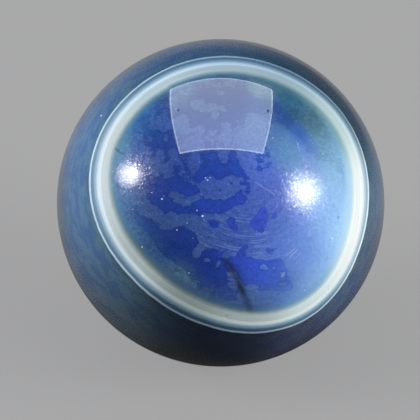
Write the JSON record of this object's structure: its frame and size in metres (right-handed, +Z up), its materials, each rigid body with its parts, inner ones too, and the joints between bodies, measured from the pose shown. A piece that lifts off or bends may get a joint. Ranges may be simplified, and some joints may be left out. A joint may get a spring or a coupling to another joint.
{
  "type": "agate sphere",
  "caption": "Polished agate ball: blue banded stone with a round deep blue eye ringed by pale layers. One solid piece.",
  "frame": {"origin": "middle of the ball", "axes": "+Z up, -Y towards the front, where the eye looks out 35.5 degrees above the horizontal and 8.5 degrees towards +X"},
  "size_m": [0.045, 0.045, 0.045],
  "materials": {
    "polished_agate": "polished"
  },
  "bodies": {
    "root": {"agate_sphere": "polished_agate"}
  },
  "joints": []
}
